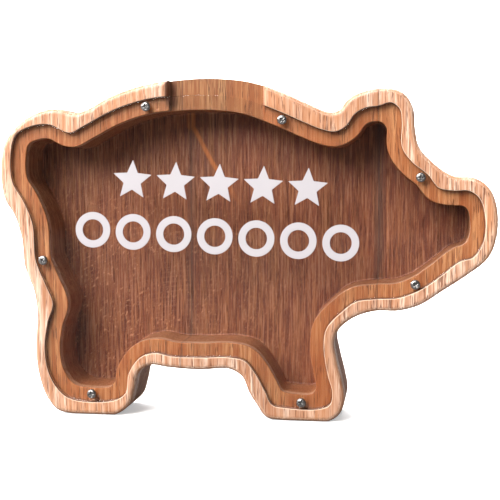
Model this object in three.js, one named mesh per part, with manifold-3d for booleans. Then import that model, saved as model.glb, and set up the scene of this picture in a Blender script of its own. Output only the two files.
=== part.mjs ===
// A wooden money box in the outline of a pig, seen from its front with the snout to the right.
//
// Boards glued edge to edge make one thick blank. A deep pocket is routed into its front, with a step around it
// that seats a clear panel. Pan-head screws hold the panel down on the step. A notch in the top of the back is
// deeper than the step, so that coins drop through it behind the panel. Stars and coin rings decorate the panel.
//
// Units are millimetres. X runs from tail to snout, Z is up, and the front faces -Y. Outlines are drawn in X and Z,
// and depths are measured from the front face into the wood. The origin is under the middle, on the ground.
import * as THREE from "three";
import { mergeVertices } from "three/addons/utils/BufferGeometryUtils.js";
import Module from "manifold-3d";

// Body
const BODY_THICKNESS = 40;
const EDGE_RADIUS = 3;
const FLOOR_THICKNESS = 6;
const BOARD_JOINTS = [-36, 78];
const GLUE_LINE = 0.2;
const BLANK_REACH = 250;

// Step and pocket behind the panel
const STEP_DEPTH = 4;
const STEP_WIDTH = 8.2;
const ROUTER_BIT_RADIUS = 5;

// Coin notch
const NOTCH_LEFT = -43;
const NOTCH_RIGHT = 12.5;
const NOTCH_BOTTOM = 170;
const NOTCH_TOP = 210;
const NOTCH_DEPTH = 8.6;
const NOTCH_EDGE_RADIUS = 2.5;

// Clear panel
const PANEL_THICKNESS = 3;
const PANEL_SIDE_GAP = 0.5;
const PANEL_SEAT_GAP = 0.3;
const PANEL_HOLE_RADIUS = 1.75;

// Pan-head screws, 2.8 mm shank, 12.7 mm long. The head's profile is given in shares of its radius and height.
const HEAD_RADIUS = 2.75;
const HEAD_HEIGHT = 1.8;
const HEAD_SEAT_GAP = 0.3;
const SHANK_RADIUS = 1.4;
const SHANK_LENGTH = 12.7;
const SHANK_POINT = 2.6;
const PILOT_RADIUS = 1.7;
const PILOT_CLEARANCE = 0.8;
const RECESS_SPAN = 3.2;
const RECESS_WIDTH = 0.75;
const RECESS_DEPTH = 1.2;
const HEAD_SIDE = 0.5;
const HEAD_SHOULDER = { radius: 0.86, height: 0.84 };
const HEAD_FLAT = 0.55;
const SCREW_CENTRES = {
  screw_top_rear: [-56, 182],
  screw_top_front: [23.5, 173.8],
  screw_brow: [102, 141],
  screw_jaw: [99.5, 80.5],
  screw_front_foot: [35, 11],
  screw_rear_foot: [-90, 12.6],
  screw_rump: [-119, 92],
};

// White decorations stuck on the panel: a row of stars over a row of coin rings
const DECAL_THICKNESS = 0.25;
const DECAL_GAP = 0.05;
const ROW_TILT = THREE.MathUtils.degToRad(-2.6);
const STAR_ROW = { centre: [-13, 137], count: 5, pitch: 25.7 };
const STAR_RADIUS = 12;
const STAR_INNER_RADIUS = 5.4;
const COIN_ROW = { centre: [-15.5, 107], count: 7, pitch: 24.3 };
const COIN_RADIUS = 10.5;
const COIN_HOLE_RADIUS = 6.2;

// Fineness of the faceted surfaces
const STEPS_PER_POINT = 8;
const OUTLINE_TOLERANCE = 0.12;
const CORNER_STEP = Math.PI / 12;
const EDGE_STEPS = 3;
const HOLE_SEGMENTS = 16;
const SCREW_SEGMENTS = 18;
const COIN_SEGMENTS = 36;

// How far a cutting tool reaches past the surface it opens, and how close two offset points may come
const OVERSHOOT = 1;
const OFFSET_SLACK = 1e-3;
const MERGE_DISTANCE = 1e-4;

// Outer edge of the body, clockwise from the dip between tail and back
const BODY_POINTS = [
  // back, up to the neck
  [-99, 178.8], [-90, 181.6], [-79, 187.5], [-62, 193.5], [-44, 197], [-20, 198.4], [4, 196], [22, 190],
  [40, 182], [49, 178.3],
  // ear
  [55.5, 179], [61, 185.3], [69, 189.3], [82, 191.3], [92, 188.2], [97.3, 180], [98.6, 168],
  // forehead and snout
  [101, 158], [109, 149], [119, 142.3], [132, 140.6], [140, 135], [144.3, 124], [144.4, 108], [140, 96],
  // jaw and chest
  [129, 86.5], [115, 77], [102, 68.5], [90, 65.2], [77, 64.8], [66, 61.3], [57, 54.5],
  // front leg
  [53.8, 47], [55.2, 37], [58.4, 24], [60, 13], [57, 4.5], [50, 0], [24, 0], [14.5, 1.5], [9, 8.5], [4.2, 16],
  // belly
  [0.5, 24.5], [-7, 29.2], [-25, 28.4], [-44, 29.4], [-54.5, 30.4],
  // rear leg
  [-61.5, 26], [-64.3, 16], [-67.5, 6.5], [-75, 0.6], [-82, 0], [-102, 0], [-112, 2.2], [-118.5, 10],
  [-122.8, 22],
  // rump
  [-125, 40], [-123.6, 58], [-125.5, 73], [-131, 88], [-132.8, 105], [-137, 118.5],
  // tail
  [-142.7, 128], [-145, 145], [-142, 162], [-132, 173.6], [-119, 180.2], [-108, 181.2],
];

// Edge of the step that seats the panel, clockwise from the same dip
const STEP_POINTS = [
  // back, up to the neck
  [-102, 167.2], [-94, 170.8], [-76, 180], [-58, 185.8], [-40, 188.2], [-18, 188.6], [2, 186], [20, 179.4],
  [36, 172.4], [47, 168],
  // ear
  [54, 167], [60, 170.2], [65, 177], [71, 180.2], [78, 181.2], [85, 183], [90, 179.3], [91.2, 172],
  // forehead and snout
  [91.4, 158], [97, 149.8], [106, 142.4], [112, 135.2], [120, 133.6], [129, 133.4], [135, 128.6], [138, 115],
  [136.6, 104], [131.5, 96.2],
  // jaw and chest
  [124, 93.6], [114, 85.6], [102, 77.2], [90, 72.6], [78, 71.8], [66, 70], [58, 64],
  // front leg
  [49.5, 54.5], [47.9, 44], [50.2, 28], [53, 17], [51.5, 10.2], [45, 7.4], [27, 7.4], [18, 9.2], [14, 16.5],
  // belly
  [8, 27.5], [2, 34.3], [-7, 36.3], [-24, 35.8], [-41, 36], [-51, 37.8],
  // rear leg
  [-60, 35.2], [-67.2, 25.5], [-69.4, 13.5], [-77, 8.7], [-102, 8.8], [-110, 13.8], [-116.6, 25],
  // rump
  [-118.7, 40], [-116.6, 55], [-113.4, 66], [-118, 78], [-123.6, 92], [-125.2, 113],
  // tail
  [-130.5, 126.5], [-137.2, 138], [-138.3, 153], [-135, 166], [-125.5, 171.2], [-114.5, 172.2],
];

const FRONT_Y = -(BODY_THICKNESS + headProudOfFront()) / 2 + headProudOfFront();
const PANEL_FRONT_DEPTH = STEP_DEPTH - PANEL_SEAT_GAP - PANEL_THICKNESS;

const wasm = await Module();
wasm.setup();

// How far the screw heads stand out of the body's front face.
function headProudOfFront() {
  return PANEL_THICKNESS + PANEL_SEAT_GAP + HEAD_SEAT_GAP + HEAD_HEIGHT - STEP_DEPTH;
}

// ---- Outlines: closed lists of THREE.Vector2, clockwise ----

// The distance from a point to the straight line between two others.
function distanceToSegment(point, start, end) {
  const alongX = end.x - start.x;
  const alongY = end.y - start.y;
  const reach = (point.x - start.x) * alongX + (point.y - start.y) * alongY;
  const part = THREE.MathUtils.clamp(reach / (alongX * alongX + alongY * alongY), 0, 1);
  return Math.hypot(start.x + part * alongX - point.x, start.y + part * alongY - point.y);
}

function distanceToOutline(point, outline) {
  let nearest = Infinity;
  outline.forEach((corner, i) => {
    nearest = Math.min(nearest, distanceToSegment(point, corner, outline[(i + 1) % outline.length]));
  });
  return nearest;
}

// Leaves out the points of an open run that lie closer than the tolerance to the line between those kept.
function thinRun(run) {
  const last = run.length - 1;
  const distances = run.map((point) => distanceToSegment(point, run[0], run[last]));
  const widest = Math.max(...distances);
  if (widest < OUTLINE_TOLERANCE) return [run[0], run[last]];
  const at = distances.indexOf(widest);
  return [...thinRun(run.slice(0, at + 1)).slice(0, -1), ...thinRun(run.slice(at))];
}

function thinOutline(outline) {
  const half = Math.floor(outline.length / 2);
  const first = thinRun(outline.slice(0, half + 1));
  const second = thinRun([...outline.slice(half), outline[0]]);
  return [...first.slice(0, -1), ...second.slice(0, -1)];
}

// A smooth closed outline through the given points, cut flat where it would reach under the ground.
function smoothOutline(points) {
  const corners = points.map(([x, z]) => new THREE.Vector3(x, z, 0));
  const curve = new THREE.CatmullRomCurve3(corners, true, "centripetal");
  const samples = curve.getPoints(points.length * STEPS_PER_POINT).slice(0, -1);
  return samples.map((sample) => new THREE.Vector2(sample.x, Math.max(sample.y, 0)));
}

// The unit vector to the inside of a clockwise outline, square to the edge between two of its points.
function inwardNormal(start, end) {
  const along = end.clone().sub(start).normalize();
  return new THREE.Vector2(along.y, -along.x);
}

// The normal before a point of an outline, and the angle from it to the normal after that point.
function normalAndTurn(outline, i) {
  const before = inwardNormal(outline[(i + outline.length - 1) % outline.length], outline[i]);
  const after = inwardNormal(outline[i], outline[(i + 1) % outline.length]);
  const turn = Math.atan2(before.cross(after), before.dot(after));
  return { before, turn };
}

function turned(vector, angle) {
  return vector.clone().rotateAround(new THREE.Vector2(), angle);
}

// One point of an outline moved inwards with both of its edges.
function insetPoint(outline, i, distance) {
  const { before, turn } = normalAndTurn(outline, i);
  return outline[i].clone().addScaledVector(turned(before, turn / 2), distance / Math.cos(turn / 2));
}

// Every point of an outline moved inwards by a small distance, point for point.
function insetPoints(outline, distance) {
  return outline.map((point, i) => insetPoint(outline, i, distance));
}

// An outline moved inwards by any distance, or outwards by a negative one: corners that open up are rounded, and
// points that come nearer to the old outline than the distance are left out.
function offsetOutline(outline, distance) {
  const moved = outline.flatMap((point, i) => {
    const { before, turn } = normalAndTurn(outline, i);
    if (turn * distance <= 0) return [insetPoint(outline, i, distance)];
    const steps = Math.ceil(Math.abs(turn) / CORNER_STEP);
    return Array.from({ length: steps + 1 }, (unused, k) => {
      return point.clone().addScaledVector(turned(before, (turn * k) / steps), distance);
    });
  });
  return moved.filter((point) => distanceToOutline(point, outline) > Math.abs(distance) - OFFSET_SLACK);
}

// What a round router bit can clear when it stays a given distance inside an outline.
function routedPocket(outline, distance) {
  const bitCentres = offsetOutline(outline, distance + ROUTER_BIT_RADIUS);
  return offsetOutline(bitCentres, -ROUTER_BIT_RADIUS);
}

// ---- Solids: three.js geometry in, manifold-3d solid out ----

function solidOf(geometry) {
  const bare = geometry.clone();
  bare.deleteAttribute("normal");
  bare.deleteAttribute("uv");
  const merged = mergeVertices(bare, MERGE_DISTANCE);
  return new wasm.Manifold(
    new wasm.Mesh({
      numProp: 3,
      vertProperties: merged.attributes.position.array,
      triVerts: new Uint32Array(merged.index.array),
    }),
  );
}

function geometryOf(solid) {
  const mesh = solid.getMesh();
  const geometry = new THREE.BufferGeometry();
  geometry.setAttribute("position", new THREE.BufferAttribute(mesh.vertProperties, 3));
  geometry.setIndex(new THREE.BufferAttribute(mesh.triVerts, 1));
  const flat = geometry.toNonIndexed();
  flat.computeVertexNormals();
  return flat;
}

// A flat slab of a shape drawn in X and Z, between two depths.
function slab(shape, fromDepth, toDepth) {
  const geometry = new THREE.ExtrudeGeometry(shape, {
    depth: toDepth - fromDepth,
    bevelEnabled: false,
    curveSegments: HOLE_SEGMENTS,
  });
  geometry.rotateX(Math.PI / 2);
  geometry.translate(0, FRONT_Y + toDepth, 0);
  return geometry;
}

// The body's outline through its whole thickness, with both edges rounded over.
function roundedBody(outline) {
  const quarter = Array.from({ length: EDGE_STEPS + 1 }, (unused, i) => {
    const angle = (i / EDGE_STEPS) * (Math.PI / 2);
    return { depth: EDGE_RADIUS * (1 - Math.cos(angle)), inset: EDGE_RADIUS * (1 - Math.sin(angle)) };
  });
  const back = quarter.map(({ depth, inset }) => ({ depth: BODY_THICKNESS - depth, inset })).reverse();
  const rings = [...quarter, ...back].map(({ depth, inset }) => {
    return insetPoints(outline, inset).map((p) => new THREE.Vector3(p.x, FRONT_Y + depth, p.y));
  });
  const count = outline.length;
  const triangles = [];
  for (let ring = 0; ring < rings.length - 1; ring++) {
    for (let i = 0; i < count; i++) {
      const a = ring * count + i;
      const b = ring * count + ((i + 1) % count);
      triangles.push([a, b, b + count], [a, b + count, a + count]);
    }
  }
  const cap = THREE.ShapeUtils.triangulateShape(insetPoints(outline, EDGE_RADIUS), []);
  const lastRing = (rings.length - 1) * count;
  cap.forEach(([a, b, c]) => {
    triangles.push([a, b, c], [lastRing + c, lastRing + b, lastRing + a]);
  });
  const geometry = new THREE.BufferGeometry().setFromPoints(rings.flat());
  geometry.setIndex(triangles.flat());
  return geometry;
}

// A round bar along Y, between two depths.
function roundBar([x, z], radius, fromDepth, toDepth) {
  const geometry = new THREE.CylinderGeometry(radius, radius, toDepth - fromDepth, HOLE_SEGMENTS);
  geometry.translate(x, FRONT_Y + (fromDepth + toDepth) / 2, z);
  return geometry;
}

// What the coin notch takes away: a straight slot whose two ends are rounded over at the front face.
function notchCutter() {
  const radius = NOTCH_EDGE_RADIUS;
  const front = FRONT_Y - OVERSHOOT;
  const section = new THREE.Shape();
  section.moveTo(NOTCH_LEFT - radius, front);
  section.lineTo(NOTCH_LEFT - radius, FRONT_Y);
  section.absarc(NOTCH_LEFT - radius, FRONT_Y + radius, radius, -Math.PI / 2, 0, false);
  section.lineTo(NOTCH_LEFT, FRONT_Y + NOTCH_DEPTH);
  section.lineTo(NOTCH_RIGHT, FRONT_Y + NOTCH_DEPTH);
  section.absarc(NOTCH_RIGHT + radius, FRONT_Y + radius, radius, Math.PI, Math.PI * 1.5, false);
  section.lineTo(NOTCH_RIGHT + radius, front);
  const geometry = new THREE.ExtrudeGeometry(section, {
    depth: NOTCH_TOP - NOTCH_BOTTOM,
    bevelEnabled: false,
    curveSegments: EDGE_STEPS + 1,
  });
  geometry.translate(0, 0, NOTCH_BOTTOM);
  return geometry;
}

// ---- Sub-parts ----

const smoothStep = smoothOutline(STEP_POINTS);
const bodyOutline = thinOutline(smoothOutline(BODY_POINTS));
const stepOutline = thinOutline(smoothStep);
const pocketOutline = thinOutline(routedPocket(smoothStep, STEP_WIDTH));
const panelOutline = insetPoints(stepOutline, PANEL_SIDE_GAP);

const MATERIALS = {
  wood: { color: 0xd9a077, roughness: 0.5, metalness: 0 },
  acrylic: { color: 0xf2f6f6, roughness: 0.05, metalness: 0, transparent: true, opacity: 0.25 },
  steel: { color: 0xb9bbbd, roughness: 0.3, metalness: 1 },
  vinyl: { color: 0xf1edf1, roughness: 0.45, metalness: 0 },
};

function namedMesh(name, geometry, finish) {
  const mesh = new THREE.Mesh(geometry, new THREE.MeshStandardMaterial(MATERIALS[finish]));
  mesh.name = name;
  return mesh;
}

// The routed blank before it is told apart into its boards.
function routedBlank() {
  const pocketDepth = BODY_THICKNESS - FLOOR_THICKNESS;
  let blank = solidOf(roundedBody(bodyOutline));
  blank = blank.subtract(solidOf(slab(new THREE.Shape(stepOutline), -OVERSHOOT, STEP_DEPTH)));
  blank = blank.subtract(solidOf(slab(new THREE.Shape(pocketOutline), STEP_DEPTH - OVERSHOOT, pocketDepth)));
  blank = blank.subtract(solidOf(notchCutter()));
  const pilotEnd = PANEL_FRONT_DEPTH - HEAD_SEAT_GAP + SHANK_LENGTH + PILOT_CLEARANCE;
  Object.values(SCREW_CENTRES).forEach((centre) => {
    blank = blank.subtract(solidOf(roundBar(centre, PILOT_RADIUS, STEP_DEPTH - OVERSHOOT, pilotEnd)));
  });
  return blank;
}

// The boards, from rear to front, each the part of the blank between two glue lines.
function boards() {
  const blank = routedBlank();
  const edges = [-BLANK_REACH, ...BOARD_JOINTS, BLANK_REACH];
  return ["rear_board", "middle_board", "front_board"].map((name, i) => {
    const left = edges[i] + GLUE_LINE / 2;
    const right = edges[i + 1] - GLUE_LINE / 2;
    const span = new THREE.BoxGeometry(right - left, 2 * BLANK_REACH, 2 * BLANK_REACH);
    span.translate((left + right) / 2, 0, 0);
    return namedMesh(name, geometryOf(blank.intersect(solidOf(span))), "wood");
  });
}

// The clear panel, with a clearance hole for each screw.
function frontPanel() {
  const back = PANEL_FRONT_DEPTH + PANEL_THICKNESS;
  let panel = solidOf(slab(new THREE.Shape(panelOutline), PANEL_FRONT_DEPTH, back));
  Object.values(SCREW_CENTRES).forEach((centre) => {
    const hole = roundBar(centre, PANEL_HOLE_RADIUS, PANEL_FRONT_DEPTH - OVERSHOOT, back + OVERSHOOT);
    panel = panel.subtract(solidOf(hole));
  });
  return namedMesh("front_panel", geometryOf(panel), "acrylic");
}

// One pan-head screw along Y, its head's underside at y = 0 and its point towards +Y.
function screwGeometry() {
  const profile = [
    [0, -SHANK_LENGTH],
    [SHANK_RADIUS, SHANK_POINT - SHANK_LENGTH],
    [SHANK_RADIUS, 0],
    [HEAD_RADIUS, 0],
    [HEAD_RADIUS, HEAD_SIDE * HEAD_HEIGHT],
    [HEAD_SHOULDER.radius * HEAD_RADIUS, HEAD_SHOULDER.height * HEAD_HEIGHT],
    [HEAD_FLAT * HEAD_RADIUS, HEAD_HEIGHT],
    [0, HEAD_HEIGHT],
  ].map(([radius, height]) => new THREE.Vector2(radius, height));
  let screw = solidOf(new THREE.LatheGeometry(profile, SCREW_SEGMENTS));
  for (const size of [[RECESS_SPAN, RECESS_WIDTH], [RECESS_WIDTH, RECESS_SPAN]]) {
    const arm = new THREE.BoxGeometry(size[0], RECESS_DEPTH * 2, size[1]);
    arm.translate(0, HEAD_HEIGHT, 0);
    screw = screw.subtract(solidOf(arm));
  }
  return geometryOf(screw).rotateX(Math.PI);
}

function screws() {
  const geometry = screwGeometry();
  return Object.entries(SCREW_CENTRES).map(([name, [x, z]]) => {
    const mesh = namedMesh(name, geometry, "steel");
    mesh.position.set(x, FRONT_Y + PANEL_FRONT_DEPTH - HEAD_SEAT_GAP, z);
    return mesh;
  });
}

function starShape() {
  const tips = 5;
  const corners = Array.from({ length: 2 * tips }, (unused, i) => {
    const angle = Math.PI / 2 + (i * Math.PI) / tips;
    const radius = i % 2 ? STAR_INNER_RADIUS : STAR_RADIUS;
    return new THREE.Vector2(radius * Math.cos(angle), radius * Math.sin(angle));
  });
  return new THREE.Shape(corners);
}

// A five-pointed star and a coin ring, both lying with their backs at y = 0 and their faces towards -Y.
function starGeometry() {
  const geometry = new THREE.ExtrudeGeometry(starShape(), { depth: DECAL_THICKNESS, bevelEnabled: false });
  return geometry.rotateX(Math.PI / 2);
}

function coinRingGeometry() {
  const section = [
    [COIN_HOLE_RADIUS, 0],
    [COIN_RADIUS, 0],
    [COIN_RADIUS, DECAL_THICKNESS],
    [COIN_HOLE_RADIUS, DECAL_THICKNESS],
    [COIN_HOLE_RADIUS, 0],
  ].map(([radius, height]) => new THREE.Vector2(radius, height));
  return new THREE.LatheGeometry(section, COIN_SEGMENTS).rotateX(Math.PI);
}

// A row of equal decorations on the panel, as its own group turned by the row's tilt.
function decalRow(name, geometry, row) {
  const group = new THREE.Group();
  group.position.set(row.centre[0], FRONT_Y + PANEL_FRONT_DEPTH - DECAL_GAP, row.centre[1]);
  group.rotation.y = -ROW_TILT;
  for (let i = 0; i < row.count; i++) {
    const decal = namedMesh(name + "_" + (i + 1), geometry, "vinyl");
    decal.position.x = (i - (row.count - 1) / 2) * row.pitch;
    group.add(decal);
  }
  return group;
}

const moneyBox = new THREE.Group();
moneyBox.add(...boards(), frontPanel(), ...screws());
moneyBox.add(decalRow("star", starGeometry(), STAR_ROW));
moneyBox.add(decalRow("coin_ring", coinRingGeometry(), COIN_ROW));
export default moneyBox;
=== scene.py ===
# A wooden money box in the outline of a pig: three glued boards with a routed pocket, a clear panel held by
# seven pan-head screws, and white stars and coin rings stuck on the panel.
#
# Lengths are written in millimetres and turned into metres when a mesh is made. X runs from tail to snout,
# Z is up, and the front faces -Y. "Depth" is measured from the body's front face towards +Y.
import math

import bmesh
import bpy
import numpy as np
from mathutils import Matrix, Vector
from mathutils.geometry import tessellate_polygon


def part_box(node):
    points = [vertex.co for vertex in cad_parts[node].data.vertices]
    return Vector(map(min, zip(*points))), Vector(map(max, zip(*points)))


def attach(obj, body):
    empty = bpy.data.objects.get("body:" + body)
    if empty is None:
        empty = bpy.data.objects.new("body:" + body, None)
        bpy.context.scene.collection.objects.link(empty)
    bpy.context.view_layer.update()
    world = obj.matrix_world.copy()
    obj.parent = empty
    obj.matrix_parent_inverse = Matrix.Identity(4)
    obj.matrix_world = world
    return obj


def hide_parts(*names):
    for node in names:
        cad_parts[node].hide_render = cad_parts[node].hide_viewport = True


MM = 0.001

# ---- Camera ----
CAMERA_PLACE = (0.09039, -0.6173, 0.13956)
CAMERA_TURN = 8.112
CAMERA_DROP = 3.814
CAMERA_LENS = 75.6
SENSOR_WIDTH = 36

# ---- Body, as in the CAD source ----
BODY_THICKNESS = 40.0
EDGE_RADIUS = 3.0
FLOOR_THICKNESS = 6.0
BOARD_JOINTS = (-36.0, 78.0)
STEP_DEPTH = 4.0
STEP_WIDTH = 8.2
ROUTER_BIT_RADIUS = 5.0
NOTCH_LEFT = -43.0
NOTCH_RIGHT = 12.5
NOTCH_BOTTOM = 170.0
NOTCH_TOP = 210.0
NOTCH_DEPTH = 8.6
NOTCH_EDGE_RADIUS = 2.5
PANEL_SIDE_GAP = 0.5
PANEL_HOLE_RADIUS = 1.75

BODY_POINTS = [
    # back, up to the neck
    (-99, 178.8), (-90, 181.6), (-79, 187.5), (-62, 193.5), (-44, 197), (-20, 198.4), (4, 196), (22, 190),
    (40, 182), (49, 178.3),
    # ear
    (55.5, 179), (61, 185.3), (69, 189.3), (82, 191.3), (92, 188.2), (97.3, 180), (98.6, 168),
    # forehead and snout
    (101, 158), (109, 149), (119, 142.3), (132, 140.6), (140, 135), (144.3, 124), (144.4, 108), (140, 96),
    # jaw and chest
    (129, 86.5), (115, 77), (102, 68.5), (90, 65.2), (77, 64.8), (66, 61.3), (57, 54.5),
    # front leg
    (53.8, 47), (55.2, 37), (58.4, 24), (60, 13), (57, 4.5), (50, 0), (24, 0), (14.5, 1.5), (9, 8.5),
    (4.2, 16),
    # belly
    (0.5, 24.5), (-7, 29.2), (-25, 28.4), (-44, 29.4), (-54.5, 30.4),
    # rear leg
    (-61.5, 26), (-64.3, 16), (-67.5, 6.5), (-75, 0.6), (-82, 0), (-102, 0), (-112, 2.2), (-118.5, 10),
    (-122.8, 22),
    # rump
    (-125, 40), (-123.6, 58), (-125.5, 73), (-131, 88), (-132.8, 105), (-137, 118.5),
    # tail
    (-142.7, 128), (-145, 145), (-142, 162), (-132, 173.6), (-119, 180.2), (-108, 181.2),
]

STEP_POINTS = [
    # back, up to the neck
    (-102, 167.2), (-94, 170.8), (-76, 180), (-58, 185.8), (-40, 188.2), (-18, 188.6), (2, 186), (20, 179.4),
    (36, 172.4), (47, 168),
    # ear
    (54, 167), (60, 170.2), (65, 177), (71, 180.2), (78, 181.2), (85, 183), (90, 179.3), (91.2, 172),
    # forehead and snout
    (91.4, 158), (97, 149.8), (106, 142.4), (112, 135.2), (120, 133.6), (129, 133.4), (135, 128.6),
    (138, 115), (136.6, 104), (131.5, 96.2),
    # jaw and chest
    (124, 93.6), (114, 85.6), (102, 77.2), (90, 72.6), (78, 71.8), (66, 70), (58, 64),
    # front leg
    (49.5, 54.5), (47.9, 44), (50.2, 28), (53, 17), (51.5, 10.2), (45, 7.4), (27, 7.4), (18, 9.2), (14, 16.5),
    # belly
    (8, 27.5), (2, 34.3), (-7, 36.3), (-24, 35.8), (-41, 36), (-51, 37.8),
    # rear leg
    (-60, 35.2), (-67.2, 25.5), (-69.4, 13.5), (-77, 8.7), (-102, 8.8), (-110, 13.8), (-116.6, 25),
    # rump
    (-118.7, 40), (-116.6, 55), (-113.4, 66), (-118, 78), (-123.6, 92), (-125.2, 113),
    # tail
    (-130.5, 126.5), (-137.2, 138), (-138.3, 153), (-135, 166), (-125.5, 171.2), (-114.5, 172.2),
]

# ---- Details that only the visual model has ----
OUTLINE_SPACING = 0.75
SHARP_ANGLE = 34
ROUND_SEGMENTS = 40
# A box well around the body, which the cuts along the board joints divide.
BODY_REACH = [(-200, -50, -50), (200, 50, 250)]
VISUAL_GLUE_LINE = 0.02
RIM_EASE = 0.4
POCKET_EASE = 0.3
FLOOR_FILLET = 1.1
SUPPORT = 0.25
# How far across the ledge the painted shadow of the gap along the step's wall fades out.
GAP_SHADOW_WIDTH = 1.3
PILOT_RADIUS = 1.55
PILOT_DEPTH = 14.1
NOTCH_FILLET = 1.2
# How near a vertex has to be to the step's wall, in depth and sideways, to belong to it.
WALL_DEPTH_TOLERANCE = 0.02
WALL_TOLERANCE = 0.1

# ---- Panel ----
PANEL_EDGE = 0.12
PANEL_HOLE_EASE = 0.2
PANEL_SPREAD = 0.08
PANEL_EXTRA_DEPTH = 0.22
PANEL_FRAME = 0.5

# ---- Pan-head screws ----
HEAD_RADIUS = 2.75
HEAD_HEIGHT = 1.8
# How far in from the head's radius, and how deep behind its front, along the head's rounded side.
HEAD_SIDE = [
    (0.12, HEAD_HEIGHT + 0.22), (0, HEAD_HEIGHT + 0.1), (0, 1.15), (0.06, 0.85), (0.2, 0.6), (0.48, 0.36),
    (0.9, 0.17), (1.5, 0.05),
]
HEAD_FLAT_RADIUS = 0.5
SHANK_CORE = 1.05
SHANK_PLAIN = 2.4
SHANK_POINT = 2.6
SHANK_TIP = 0.25
SHANK_NECK = 0.3
POINT_SHARE = 0.12
THREAD_RUNOUT = 1.2
THREAD_HEIGHT = 0.36
THREAD_PITCH = 1.3
THREAD_ROWS = 9
# Depth, half length and half width of the recess's arms, at their mouth and at their foot.
RECESS_ENDS = [(-0.4, 1.74, 0.5), (1.25, 0.75, 0.3)]
SCREW_SHARP_ANGLE = 40
FIRST_TURN = 12
TURN_STEP = 37

# ---- White stars and coin rings ----
ROW_TILT = math.radians(-2.6)
STAR_RADIUS = 12.0
STAR_INNER_RADIUS = 5.4
STAR_TIP = 0.5
COIN_RADIUS = 10.5
COIN_HOLE_RADIUS = 6.2
DECAL_EDGE = 0.1
DECAL_FRAME = 0.1

# ---- Wood ----
# Each board's tone, where its heart lies (x, y in mm), and a place in the noise of its own.
BOARD_LOOKS = [
    (1.0, (-205, 70), (11, 5, 40)),
    (0.95, (40, 120), (73, 17, 95)),
    (1.04, (150, 95), (141, 29, 10)),
]
RING_SPACING = 3.4
# The painted streak of light on the floor: where it starts, where it bends, and how far it leans for each mm
# down.
STREAK_START = -36.5
STREAK_BEND = 172.0
STREAK_LEAN = 0.63
# The cutter's marks on the floor: cosine and sine of the nicks' lean, the swirls' centre, and how many
# radians they turn for each mm away from it.
NICK_LEAN = (0.87, 0.49)
SWIRL_CENTRE = (-30, 15, -60)
SWIRL_RATE = 2.1

# ---- Colours from 0 to 255 ----
WOOD_LIGHT = (222, 194, 174)
WOOD_DARK = (166, 114, 82)
WOOD_LINE = (138, 84, 52)
WOOD_FIBRE = (144, 90, 56)
WOOD_BROAD = (192, 128, 80)
WOOD_BLOTCH = (150, 92, 56)
WOOD_PORE = (92, 52, 32)
END_GRAIN = (150, 92, 54)
PALE_FIBRE = (158, 110, 82)
# A painted shadow in the gap along the step's wall.
STEP_GAP_SHADOW = (70, 38, 22)
# A painted highlight on the rim's eased edge.
RIM_EDGE_HIGHLIGHT = (240, 218, 196)
CUTTER_MARK = (196, 136, 98)
# A painted streak of light that falls through the notch onto the floor.
NOTCH_LIGHT_STREAK = (206, 116, 48)
# A painted shadow at the notch's rear end.
NOTCH_END_SHADOW = (84, 44, 24)
GLUE = (74, 42, 24)
JOINT_STAIN = (62, 33, 21)
# These multiply the wood's own colour. All of them but the deep fibres' tint are painted shade in the step,
# the pocket and the notch.
STEP_SHADE_TINT = (224, 180, 136)
POCKET_WALL_SHADE = (202, 168, 136)
POCKET_FLOOR_SHADE = (166, 115, 74)
SNOUT_SHADE = (218, 214, 208)
DEEP_FIBRE_TINT = (184, 170, 160)
NOTCH_SHADE = (192, 162, 122)
STEEL_PALE = (150, 147, 146)
STEEL_DARK = (104, 101, 100)
VINYL_PALE = (172, 167, 171)
VINYL_DARK = (165, 160, 164)

# ---- Light ----
WORLD_COLOUR = (1, 0.99, 0.98, 1)
WORLD_STRENGTH = 0.16
WORLD_SEEN = (0.97, 0.97, 0.97, 1)
# How much light the backdrop throws back, and how much it adds where the camera sees it.
BACKDROP_BOUNCE = (0.2, 0.2, 0.2, 1)
BACKDROP_GLOW = 0.4
# Name, place, target, size, power, colour and spread in degrees.
OBJECT_MIDDLE = (0, 0, 0.1)
LAMPS = [
    ("key", (-1.1, -1.85, 1.7), OBJECT_MIDDLE, 1.9, 196, (1, 0.985, 0.96), 180),
    ("left_edge", (-1.3, -0.05, 0.72), OBJECT_MIDDLE, 0.5, 24, (1, 0.99, 0.98), 180),
    ("overhead", (0, -0.1, 1.5), OBJECT_MIDDLE, 1.2, 3, (1, 1, 1), 180),
    ("backdrop_light", (0, 0.6, 1.5), (0, 0.9, 0.0), 1.0, 22, (1, 1, 1), 100),
    ("behind", (-0.8, 1.0, 1.3), OBJECT_MIDDLE, 1.0, 11, (1, 1, 1), 180),
    ("right_fill", (1.5, 0.5, 1.0), OBJECT_MIDDLE, 0.8, 4, (1, 1, 1), 180),
]

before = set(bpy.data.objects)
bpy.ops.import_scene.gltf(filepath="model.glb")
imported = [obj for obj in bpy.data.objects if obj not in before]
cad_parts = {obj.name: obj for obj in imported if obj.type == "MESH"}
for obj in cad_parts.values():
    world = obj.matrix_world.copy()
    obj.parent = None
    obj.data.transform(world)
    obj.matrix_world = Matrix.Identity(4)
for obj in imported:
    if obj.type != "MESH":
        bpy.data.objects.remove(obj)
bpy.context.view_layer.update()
FRONT_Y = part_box("rear_board")[0].y / MM
PANEL_LOW, PANEL_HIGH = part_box("front_panel")
SCREWS = {
    "screw_top_rear": "top_rear_screw",
    "screw_top_front": "top_front_screw",
    "screw_brow": "brow_screw",
    "screw_jaw": "jaw_screw",
    "screw_front_foot": "front_foot_screw",
    "screw_rear_foot": "rear_foot_screw",
    "screw_rump": "rump_screw",
}


def node_centre(node):
    low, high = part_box(node)
    return (low + high) / 2 / MM


SCREW_CENTRES = {node: (node_centre(node).x, node_centre(node).z) for node in SCREWS}


# ---- Outlines: closed lists of (x, z) in millimetres, clockwise ----


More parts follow.
